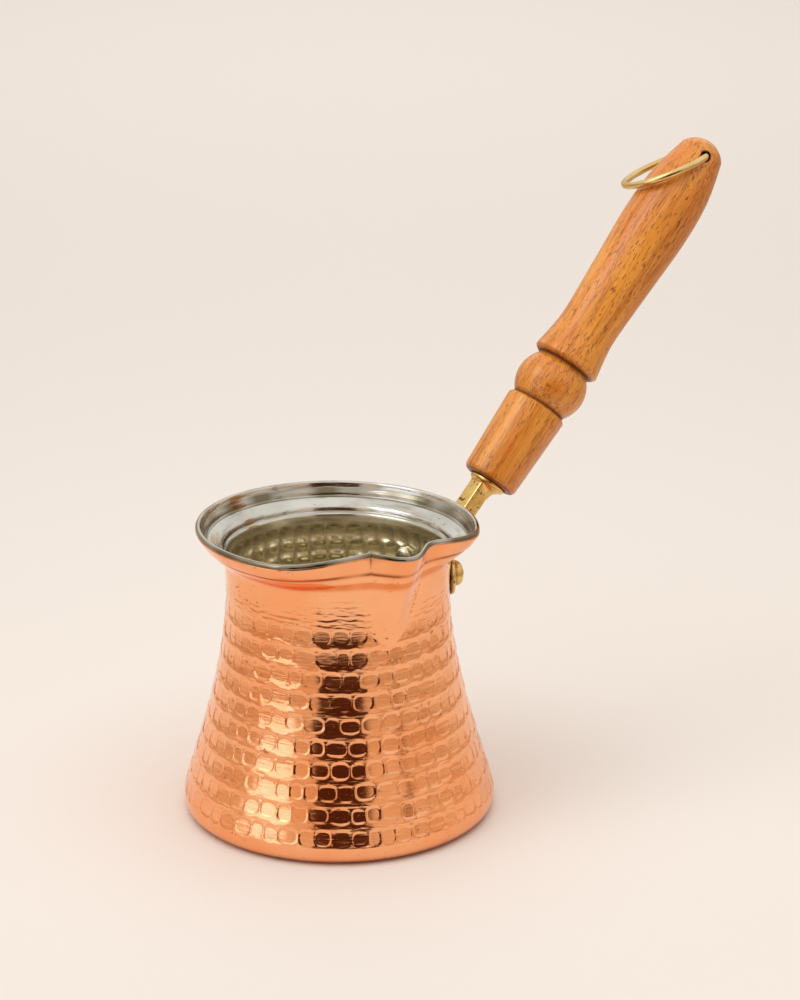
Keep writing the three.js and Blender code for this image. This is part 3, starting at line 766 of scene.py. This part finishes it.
def copper_body():
    line = soften(OUTER, 0.16)
    line = resample(line, spacing_along(line, 0.34))[1:]
    r, z = line[:, 0], line[:, 1]
    level = z[:, None]
    angle = full_turn(POT_COLUMNS) - math.pi
    points = on_pot(r, z, angle)
    climb = climb_from_belts(r, z)
    clear = 1 - channel_panel(z, angle)
    belt = belt_zone(climb)
    relief, outline = hammered(climb, r, angle, **FACETS)
    calm = 1 - 0.7 * smoothstep(-relief, 0.06, 0.14)
    relief *= clear * belt
    # Streaks are strongest at the neck, and fainter in the marks and on the channel's panel
    streaks = 1 + 1.3 * smoothstep(level, 74.5, 76.5) - 1.6 * smoothstep(level, 77, WALL_TOP_Z)
    streaks = streaks * above_base(climb)[:, None] * (1 - smoothstep(level, WALL_TOP_Z, STREAKS_TOP_Z))
    relief += streak_relief(climb, angle, 5) * streaks * (0.25 + 0.75 * clear) * calm
    relief += channel_creases(z, angle)
    out_of_round = 0.05 * periodic(angle, 7, 90)
    relief += out_of_round * plateau(level, 3, 9, 84, 88)
    points = points + grid_normals(points) * relief[..., None]
    # The hidden side, inside the sheet
    under = np.vstack([[(45.3, CREASE_Z + 5), (42.9, CREASE_Z + 1.7), (41, CREASE_Z + 0.1),
                        (38.8, CREASE_Z - 1.8), (36.6, CREASE_Z - 4.4)], wall_line(COPPER_DEPTH)[::-6]])
    rings = np.vstack([points, on_pot(under[:, 0], under[:, 1], angle)])
    made = grid_mesh("copper_body", rings, copper)
    # Painted reflection: deeper red under the crease and on the flare, where the copper reflects copper.
    # Painted shade in the crease, round the base and on the marks' outlines
    under_crease = plateau(level, CREASE_Z - 4.4, CREASE_Z - 2.9, CREASE_Z - 2.1, CREASE_Z - 1.7)
    painted_reflection = under_crease * (0.8 + 0.1 * periodic(angle, 40, 37))
    painted_reflection += smoothstep(level, CREASE_Z - 1, CREASE_Z) * (0.3 + 0.15 * periodic(angle, 24, 35))
    painted_shade = bell(level, CREASE_Z + 0.25, 0.4) * np.clip(0.85 + 0.3 * periodic(angle, 19, 33), 0, 1)
    painted_shade += 0.25 * bell(level, 0.5, 0.8) + 0.28 * outline * clear * belt + 0.12 * under_crease
    set_rows(made, "painted_reflection", rings, 0, painted_reflection)
    set_rows(made, "streak", rings, 0, 0.35 + 0.65 * belt)
    set_rows(made, "painted_shade", rings, 0, painted_shade)
    return made


def tin_skin():
    line = soften(inner_line(), 0.12)
    spacing = spacing_along(line, 0.5)
    spacing[(line[:, 1] < 48) & (line[:, 1] > 6)] = 0.9
    line = resample(line, spacing)
    r, z = line[:, 0], line[:, 1]
    level, reach = z[:, None], r[:, None]
    angle = full_turn(LINING_COLUMNS) - math.pi
    points = on_pot(r, z, angle)
    climb = climb_from_belts(r, z)
    relief, _ = hammered(climb, r, angle, **BOWLS)
    relief *= 1 - channel_panel(z, angle)
    relief *= above_base(climb)[:, None] * (1 - smoothstep(level, 84.5, 86.5))
    relief += 0.12 * streak_relief(climb, angle, 70) * belt_zone(climb)
    points = points + grid_normals(points) * relief[..., None]
    # The hidden side, against the copper
    under = np.vstack([wall_line(LINING_UNDER)[::6],
                       [(36.2, RIM_Z - 9.5), (38.0, RIM_Z - 6.8), (40.6, RIM_Z - 4.9), (42.8, RIM_Z - 3.4),
                        (45.2, RIM_Z - 0.1), (45.6, RIM_Z - 0.1)]])
    rings = np.vstack([on_pot(under[:, 0], under[:, 1], angle), points])
    made = grid_mesh("tin_skin", rings, tin)
    # Copper shows through on the bead and the step; painted shade darkens the corners and the wall under
    # the ledge
    start = len(under)
    bead_and_step = bell(reach, 44.1, 0.3) + 0.6 * bell(reach, 42.3, 0.25) * (level > 90)
    wear = 0.5 * bead_and_step * smoothstep(periodic(angle, 130, 45), 1.2, 1.9)
    corners = 1.15 * smoothstep(reach, 45.1, 45.5) + 1.2 * plateau(reach, 42.3, 42.7, 43.7, 44.2)
    corners = corners + bell(level, RIM_Z - 3.6, 0.35) * (reach > 41.9) * (reach < 42.7)
    corners = corners + 0.9 * bell(level, RIM_Z - 6.9, 0.6) * (reach < 37)
    painted_shade = 0.85 * corners * np.clip(0.8 + 0.45 * periodic(angle, 24, 44), 0.1, 1)
    painted_shade += 0.5 * plateau(level, 80, 85, RIM_Z - 8.3, RIM_Z - 8)
    set_rows(made, "depth", rings, start, 1 - smoothstep(level, RIM_Z - 8.5, RIM_Z - 7.7), elsewhere=1.0)
    set_rows(made, "wear", rings, start, wear)
    set_rows(made, "painted_shade", rings, start, painted_shade)
    return made


# Handle line, in the plane y = 0, as in the solids

def along_and_out(lean):
    return np.array([[math.cos(lean), math.sin(lean)], [math.sin(lean), -math.cos(lean)]])


LINE_ALONG, LINE_OUT = along_and_out(HANDLE_LEAN)
BAR_ALONG, BAR_OUT = along_and_out(BAR_LEAN)
ABREAST_OF_RIM = (RIM_R, RIM_Z - RIM_LEAN) + LINE_OUT * (BAR_T / 2 + BAR_RIM_ROOM)


def on_line(distance, side=0.0):
    return ABREAST_OF_RIM + LINE_ALONG * distance + LINE_OUT * side


BAR_TOP = on_line(COLLAR_TOP_AT - COLLAR_T, -BAR_INSET)


def on_bar(distance, side=0.0):
    return BAR_TOP + BAR_ALONG * distance + BAR_OUT * side


def on_bar_at(x, side=0.0):
    return on_bar((x - on_bar(0, side)[0]) / BAR_ALONG[0], side)


SEAT_R = NECK_R + PART_GAP + PLATE_T
PLATE_Z = on_bar_at(SEAT_R)[1] - PLATE_DROP
WOOD_START = COLLAR_TOP_AT + PART_GAP - COLLAR_RECESS


def along_line(distance):
    """Matrix that stands a part turned about Z on the handle line, at a distance along it."""
    x, z = on_line(distance)
    return Matrix.Translation((x * MM, 0, z * MM)) @ Matrix.Rotation(math.pi / 2 - HANDLE_LEAN, 4, "Y")


def tool_lathe(profile, steps, matrix=None):
    return lathe("tool", np.array(profile, float), steps, steel, matrix)


def neck_tool(offset, low, high):
    """A solid of the neck's shape, larger by an offset, between two heights."""
    z = np.linspace(low, high, 40)
    return tool_lathe([(0.01, low), *zip(outer_radius(z) + offset, z), (0.01, high)], 240)


def prism_mesh(name, outline, width, material):
    """A polygon in the plane y = 0, given thickness along Y."""
    count = len(outline)
    vertices = [(x, side * width / 2, z) for side in (-1, 1) for x, z in outline]
    faces = [tuple(range(count)), tuple(reversed(range(count, 2 * count)))]
    faces += [(k, k + count, (k + 1) % count + count, (k + 1) % count) for k in range(count)]
    return face_outwards(add_mesh(name, vertices, faces, material))


def combine(made, other, operation):
    boolean = made.modifiers.new("combine", "BOOLEAN")
    configure(boolean, operation=operation, solver="EXACT", object=other)
    apply_modifiers(made)
    bpy.data.objects.remove(other)


CAST_VOXEL = 0.27
CAST_ROUNDING = 45


def bracket():
    """Plate, bar and collar joined, then remeshed and smoothed for the soft corners of a casting."""
    near, far = PART_GAP, PART_GAP + PLATE_T
    margin = PLATE_LOBE + 1
    lobe_at = SEAT_R * math.sin(RIVET_TURN)
    wing = np.vstack([arc((lobe_at, PLATE_Z), PLATE_LOBE, -math.pi / 2, math.pi / 2, 32),
                      arc((-lobe_at, PLATE_Z), PLATE_LOBE, math.pi / 2, 1.5 * math.pi, 32)])
    # The plate is a deep slab of its outline, cut to a shell of the neck's curve
    slab = prism_mesh("plate", wing, 30, cast_brass)
    slab.data.transform(Matrix.Translation((45 * MM, 0, 0)) @ Matrix.Rotation(math.pi / 2, 4, "Z"))
    combine(slab, neck_tool(far, PLATE_Z - margin, PLATE_Z + margin), "INTERSECT")
    combine(slab, neck_tool(near, PLATE_Z - margin - 1, PLATE_Z + margin + 1), "DIFFERENCE")
    # The bar spreads at its root in the plate
    root = SEAT_R - PLATE_T / 2
    half = BAR_T / 2
    low, high = on_bar_at(root, half), on_bar_at(root, -half)
    low_leave = low + BAR_ALONG * BAR_ROOT_SPREAD
    high_leave = high + BAR_ALONG * BAR_ROOT_SPREAD
    side = np.vstack([
        bezier([(root, low[1] - BAR_ROOT_SPREAD - 0.8), low, low_leave], 14),
        [on_bar(0, half)], [on_bar(0, -half)],
        bezier([high_leave, high, (root, high[1] + BAR_ROOT_SPREAD / 4 + 0.8)], 14),
        [(root - 4, high[1] + 1)], [(root - 4, low[1] - BAR_ROOT_SPREAD)],
    ])
    bar = prism_mesh("bar", side, BAR_W, cast_brass)
    combine(bar, neck_tool(near, PLATE_Z - 26, RIM_Z - 1.2), "DIFFERENCE")
    # The collar has a hollow flare under it
    edge = COLLAR_T / 4
    flare = arc((0, 0), 1, math.pi, math.pi / 2, 16)
    flare = flare * (COLLAR_R - edge - half, COLLAR_FLARE) + (COLLAR_R - edge, 0)
    top = COLLAR_FLARE + COLLAR_T
    collar = tool_lathe([(0.01, 0), *flare, (COLLAR_R, COLLAR_FLARE + edge), (COLLAR_R, top - edge),
                         (COLLAR_R - edge, top), (0.01, top)], 96, along_line(COLLAR_TOP_AT - top))
    combine(slab, bar, "UNION")
    combine(slab, collar, "UNION")
    even = slab.modifiers.new("even", "REMESH")
    configure(even, mode="VOXEL", voxel_size=CAST_VOXEL * MM, use_smooth_shade=True)
    configure(slab.modifiers.new("round", "SMOOTH"), factor=0.5, iterations=CAST_ROUNDING)
    apply_modifiers(slab)
    slab.name = "bracket_cast"
    give_material(slab, cast_brass)
    places = vertex_places(slab)
    off_neck = np.hypot(places[:, 0], places[:, 1]) - NECK_R - PART_GAP
    set_attribute(slab, "cast", np.ones(len(places)))
    # Painted shade next to the neck, in the gap between the plate and the sheet
    set_attribute(slab, "painted_shade", 0.9 * (1 - smoothstep(off_neck, 0.5, 1.5)))
    return slab


def stand_on_neck(made, turn):
    """Turns a part made about Z to point out of the neck, at the plate's height and an angle from +X."""
    stand = Matrix.Translation((0, 0, PLATE_Z * MM)) @ Matrix.Rotation(turn, 4, "Z")
    made.data.transform(stand @ Matrix.Rotation(math.pi / 2, 4, "Y"))
    return made


RIVET_SUNK = 0.55
TOOL_MARK_R = 1.75
TOOL_MARK_DEPTH = 0.42
TOOL_MARK_AT = math.radians(200)


def rivet(name, turn):
    """Outer head with a nub and a curved tool mark."""
    under_head = PLATE_Z + np.array([-RIVET_HEAD_R, 0, RIVET_HEAD_R])
    seat = float(np.max(outer_radius(under_head))) + PLATE_T + 2 * PART_GAP
    top = seat + RIVET_HEAD_H
    line = np.vstack([
        [(0.02, seat - 1.5), (RIVET_HEAD_R - 0.5, seat - 1.5), (RIVET_HEAD_R - 0.05, seat - 0.9)],
        bezier([(RIVET_HEAD_R, seat + 0.8), (RIVET_HEAD_R, top), (RIVET_NUB_R, top)], 28),
        [(RIVET_NUB_R - 0.12, top + 0.3), (RIVET_NUB_R - 0.35, top + 0.52), (0.02, top + 0.58)],
    ])
    line = resample(soften(line, 0.09), 0.1)
    angle = full_turn(96)
    r, z = line[:, :1], line[:, 1:]
    mark = bell(r, TOOL_MARK_R, 0.3) * (z > top - 0.8)
    mark = mark * np.clip(np.cos(angle - TOOL_MARK_AT) * 0.75 + 0.35, 0, 1)
    rings = turned(r, z - TOOL_MARK_DEPTH * mark, angle)
    made = grid_mesh(name, rings, cast_brass)
    # Painted shade in the tool mark and round the head's foot
    set_rows(made, "painted_shade", rings, 0, 0.9 * mark + 0.5 * bell(z, seat, 0.5))
    return stand_on_neck(made, turn)


def rivet_inside(name, turn):
    """Low inner head behind the sheet, tinned with the wall."""
    wall = NECK_R - LINING_DEPTH
    low = wall - RIVET_INNER_H
    seat = wall + RIVET_SUNK
    head = bezier([(0.02, low), (RIVET_INNER_R, low), (RIVET_INNER_R, seat)], 24)
    line = np.vstack([head, [(0.02, seat)]])
    made = lathe(name, resample(line, 0.15), 72, tin)
    set_attribute(made, "depth", np.full(len(made.data.vertices), 0.35))
    return stand_on_neck(made, turn)


# Wooden handle, turned about its own Z

BALL_FROM = BARREL_L + GROOVE_W
BALL_TO = BALL_FROM + BALL_L
GRIP_FROM = BALL_TO + GROOVE_W
HANDLE_L = GRIP_FROM + GRIP_L
HOLE_AT = HANDLE_L - HOLE_FROM_TIP


def wood_line():
    bend = ((BALL_L / 2) ** 2 + (BALL_R - GROOVE_R) ** 2) / (2 * (BALL_R - GROOVE_R))
    half = math.asin(BALL_L / 2 / bend)
    ball = arc((BALL_R - bend, BALL_FROM + BALL_L / 2), bend, -half, half, 40)
    tip_turn = math.pi / 3
    tip_from = HANDLE_L - TIP_R
    shoulder = (TIP_R * math.sin(tip_turn), tip_from + TIP_R * math.cos(tip_turn))
    grip = catmull([
        (GRIP_FLARE_R, GRIP_FROM + 1), (10.5, GRIP_FROM + 9.3), (10, GRIP_FROM + 17),
        (10.875, GRIP_FROM + 37), (11.75, GRIP_FROM + 57), (10.9, HANDLE_L - 18.4), shoulder,
    ], 24)
    tip = arc((0, tip_from), TIP_R, math.pi / 2 - tip_turn, math.pi / 2 - 0.002, 24)
    return np.vstack([
        [(0.02, COLLAR_RECESS), (COLLAR_R + PART_GAP, COLLAR_RECESS), (COLLAR_R + PART_GAP, 0)],
        arc((BARREL_LOW_R - BARREL_EDGE, BARREL_EDGE), BARREL_EDGE, -math.pi / 2, 0, 12),
        [(BARREL_HIGH_R, BARREL_L - 0.5), (BARREL_HIGH_R - 0.5, BARREL_L), (GROOVE_R, BARREL_L + 0.6)],
        ball,
        [(GROOVE_R, BALL_TO + 0.6), (GRIP_FLARE_R - 1, GRIP_FROM)],
        grip[:-1], tip,
    ])


WOOD_LINE = wood_line()


def wood_radius(distance):
    return float(np.interp(distance, WOOD_LINE[:, 1], WOOD_LINE[:, 0]))


def through_hole():
    """Matrix of the ring's mount: its Z through the hole, its Y towards the tip."""
    group = along_line(WOOD_START) @ Matrix.Rotation(math.pi / 2, 4, "X")
    hole = Matrix.Rotation(-HOLE_TURN, 4, "Y") @ Matrix.Rotation(HOLE_SKEW, 4, "X")
    return group @ Matrix.Translation((0, HOLE_AT * MM, 0)) @ hole


# The hole is drawn smaller than in the solids, so that the wire nearly fills it
HOLE_FILL = 0.3


def wooden_handle():
    line = soften(WOOD_LINE, 0.22)
    grooves = [BARREL_L + GROOVE_W / 2, BALL_TO + GROOVE_W / 2]
    spacing = np.full(len(line), 0.8)
    for groove in grooves:
        spacing[np.abs(line[:, 1] - groove) < 3] = 0.16
    spacing[(line[:, 1] < 2.5) & (line[:, 0] > 5)] = 0.2
    spacing[line[:, 1] > HANDLE_L - 12] = 0.45
    made = lathe("turned_wood", resample(line, spacing), 200, wood, along_line(WOOD_START))
    bore = HOLE_R - HOLE_FILL
    hole = through_hole()
    drill = tool_lathe([(0.01, -20), (bore, -20), (bore, 20), (0.01, 20)], 64, hole)
    combine(made, drill, "DIFFERENCE")
    give_material(made, wood)
    made.data.polygons.foreach_set("use_smooth", np.full(len(made.data.polygons), True))
    made.data.set_sharp_from_angle(angle=math.radians(50))
    places = vertex_places(made)
    start = on_line(WOOD_START)
    along = (places[:, 0] - start[0]) * LINE_ALONG[0] + (places[:, 2] - start[1]) * LINE_ALONG[1]
    # Painted shade in the grooves, at the hole's edge and at the end on the collar
    axis = np.array(hole.to_3x3() @ Vector((0, 0, 1)))
    away = places - np.array(hole.translation) / MM
    from_axis = np.linalg.norm(away - np.outer(away @ axis, axis), axis=1)
    painted_shade = sum(0.9 * bell(along, groove, 0.75) for groove in grooves)
    painted_shade += 1 - smoothstep(from_axis, bore, HOLE_R)
    painted_shade += 0.7 * (1 - smoothstep(along, 0.1, 0.9))
    set_attribute(made, "painted_shade", np.clip(painted_shade, 0, 1))
    return made


# Hanging ring: a loop with a straight run through the wood and a split at its back

def ring_path():
    mouth_at = HOLE_AT - wood_radius(HOLE_AT) * math.tan(HOLE_SKEW)
    straight = wood_radius(mouth_at) / math.cos(HOLE_SKEW) - RING_MOUTH_ROOM
    corner = RING_CORNER
    reach = RING_REACH - corner
    centre = (reach ** 2 - corner ** 2 - straight ** 2) / (2 * (RING_REACH - 2 * corner))
    loop = RING_REACH - centre
    leave = math.atan2(straight, centre - corner)
    gap = RING_SPLIT / loop
    split = -math.pi / 2 - RING_SPLIT_BACK
    return np.vstack([
        arc((centre, 0), loop, split + gap / 2, math.pi - leave, 130),
        arc((corner, straight), corner, math.pi - leave, math.pi, 24)[1:],
        np.linspace((0, straight), (0, -straight), 16)[1:-1],
        arc((corner, -straight), corner, math.pi, math.pi + leave, 24),
        arc((centre, 0), loop, math.pi + leave, split - gap / 2 + TAU, 60)[1:],
    ])


def in_plane(points):
    """Points (x, z) as (x, 0, z)."""
    return np.insert(points, 1, 0, axis=1)


def ring_wire():
    path = resample(ring_path(), 0.65)
    heading = np.gradient(path, axis=0)
    heading /= np.linalg.norm(heading, axis=1)[:, None]
    side = in_plane(heading[:, ::-1] * (-1, 1))
    forward = in_plane(heading)
    place = in_plane(path)
    turn = full_turn(28)[None, :, None]
    circle = np.cos(turn) * side[:, None] + np.sin(turn) * np.array([0, 1, 0])
    radius = WIRE_R - 0.02
    edge = 0.2
    rings = place[:, None] + radius * circle
    rings[0] += forward[0] * edge
    rings[-1] -= forward[-1] * edge
    first = place[0] + (radius - edge) * circle[0]
    last = place[-1] + (radius - edge) * circle[-1]
    made = grid_mesh("ring_wire", np.concatenate([first[None], rings, last[None]]), brass_wire)
    made.data.transform(through_hole() @ Matrix.Rotation(-math.pi / 2 - RING_LEAN, 4, "Z"))
    return face_outwards(made)


pieces = [
    (copper_body(), "cezve", "copper", "pot_body"),
    (tin_skin(), "cezve", "tin", "tin_lining"),
    (bracket(), "cezve", "cast_brass", "handle_bracket"),
    (rivet("rivet_near_head", -RIVET_TURN), "cezve", "cast_brass", "rivet_spout_side"),
    (rivet("rivet_far_head", RIVET_TURN), "cezve", "cast_brass", "rivet_far_side"),
    (rivet_inside("rivet_near_inside", -RIVET_TURN), "cezve", "tin", "rivet_spout_side"),
    (rivet_inside("rivet_far_inside", RIVET_TURN), "cezve", "tin", "rivet_far_side"),
    (wooden_handle(), "cezve", "wood", "wood_handle"),
    (ring_wire(), "ring", "brass_wire", "hanging_ring"),
]
for made, body, slot_name, node in pieces:
    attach(made, body)
    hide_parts(node)

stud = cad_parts["handle_stud"]
give_material(stud, steel)


# Floor: plain and pale. In reflections it ends a little way off, as a table does, with a dark gap

GAP_AT = -120.5
GAP_COLOR = (0.075, 0.025, 0.01)
FLOOR_HALF = 6000


def floor_material():
    table = (0.875, 0.80, 0.73)
    beyond = (0.68, 0.53, 0.39)
    n = MaterialNodes("floor")
    x, y, _ = n.add("ShaderNodeSeparateXYZ", {0: n.coords}).outputs
    away = n.math("SQRT", n.math("ADD", n.times(x, x), n.times(y, y)))
    off_gap = n.math("ABSOLUTE", n.azimuth_from(x, y, GAP_AT))
    far = n.mix(n.ramp(off_gap, 19, 24, 1.0, 0.0), beyond, GAP_COLOR)
    gone = n.times(n.ramp(away, 0.24, 0.36), n.add("ShaderNodeLightPath").outputs["Is Glossy Ray"])
    return n.finish(Base_Color=n.mix(gone, table, far), Roughness=0.9, Metallic=0.0, Specular_IOR_Level=0.1)


floor_corners = [(FLOOR_HALF * x, FLOOR_HALF * y, 0) for x, y in ((-1, -1), (1, -1), (1, 1), (-1, 1))]
floor = add_mesh("floor", floor_corners, [(0, 1, 2, 3)], floor_material(), smooth=False)
floor.location.z = -0.02 * MM


# Light: soft surroundings fixed in the world's directions, with one dark gap for the copper

class Surroundings(NodeTools):
    """The world's light, laid on in patches over one colour."""

    def __init__(self, lit):
        world = bpy.data.worlds.new("surroundings")
        bpy.context.scene.world = world
        super().__init__(world)
        self.tree.nodes.clear()
        self.lit = lit
        coords = self.add("ShaderNodeTexCoord").outputs["Generated"]
        self.x, self.y, z = self.add("ShaderNodeSeparateXYZ", {0: coords}).outputs
        self.elevation = self.times(self.math("ARCSINE", z), 180 / math.pi)

    def band(self, value, low, high, edge):
        rise = self.ramp(value, low - edge, low + edge)
        fall = self.ramp(value, high - edge, high + edge, 1.0, 0.0)
        return self.times(rise, fall)

    def patch(self, centre, half_width, low, high, edges, color):
        """Lays a colour over a patch of azimuth and elevation in degrees, with soft edges."""
        across = self.band(self.azimuth_from(self.x, self.y, centre), -half_width, half_width, edges[0])
        self.lit = self.mix(self.times(across, self.band(self.elevation, low, high, edges[1])),
                            self.lit, color)

    def finish(self, seen, diffuse_share):
        """The camera sees one colour. Rough surfaces get a share of the light that glossy ones reflect."""
        path = self.add("ShaderNodeLightPath").outputs
        dim = self.mix(diffuse_share, (0.0, 0.0, 0.0), self.lit)
        color = self.mix(path["Is Glossy Ray"], dim, self.lit)
        color = self.mix(path["Is Camera Ray"], color, seen)
        background = self.add("ShaderNodeBackground", {"Color": color}).outputs[0]
        self.add("ShaderNodeOutputWorld", {"Surface": background})


around = Surroundings((0.95, 0.94, 0.92))
# Ceiling
around.patch(-90, 300, 50, 120, (1, 12), (1.05, 1.04, 1.02))
# Warm room at eye level, paler behind the camera
around.patch(-90, 300, -30, 15, (1, 5), (0.76, 0.59, 0.44))
around.patch(-119, 40, -30, 34, (16, 5), (0.80, 0.61, 0.455))
# Window and the lamp over it
around.patch(-180, 17, -6, 40, (3, 6), (1.55, 1.58, 1.75))
around.patch(-192, 26, 38, 63, (5, 5), (3.2, 3.15, 3.1))
# Dark gap, and a narrow one to its right
around.patch(GAP_AT, 21.5, -20, 28, (1.5, 4), GAP_COLOR)
around.patch(-68, 1.5, -8, 30, (0.6, 4), (0.2, 0.1, 0.05))
around.finish((0.84, 0.77, 0.69), 0.6)


def soft_lamp(name, place, target, size, energy):
    data = configure(bpy.data.lights.new(name, "AREA"), shape="DISK", size=size, energy=energy)
    lamp = new_object(name, data)
    lamp.location = place
    lamp.rotation_euler = (Vector(target) - lamp.location).to_track_quat("-Z", "Y").to_euler()
    lamp.visible_glossy = False


soft_lamp("key", (-0.05, -0.1, 0.75), (0, 0, 0), 0.9, 2.9)
soft_lamp("backdrop_lamp", (0.8, 1.2, 0.9), (0.8, 1.2, 0), 1.5, 4.2)
bpy.context.scene.view_settings.view_transform = "Standard"
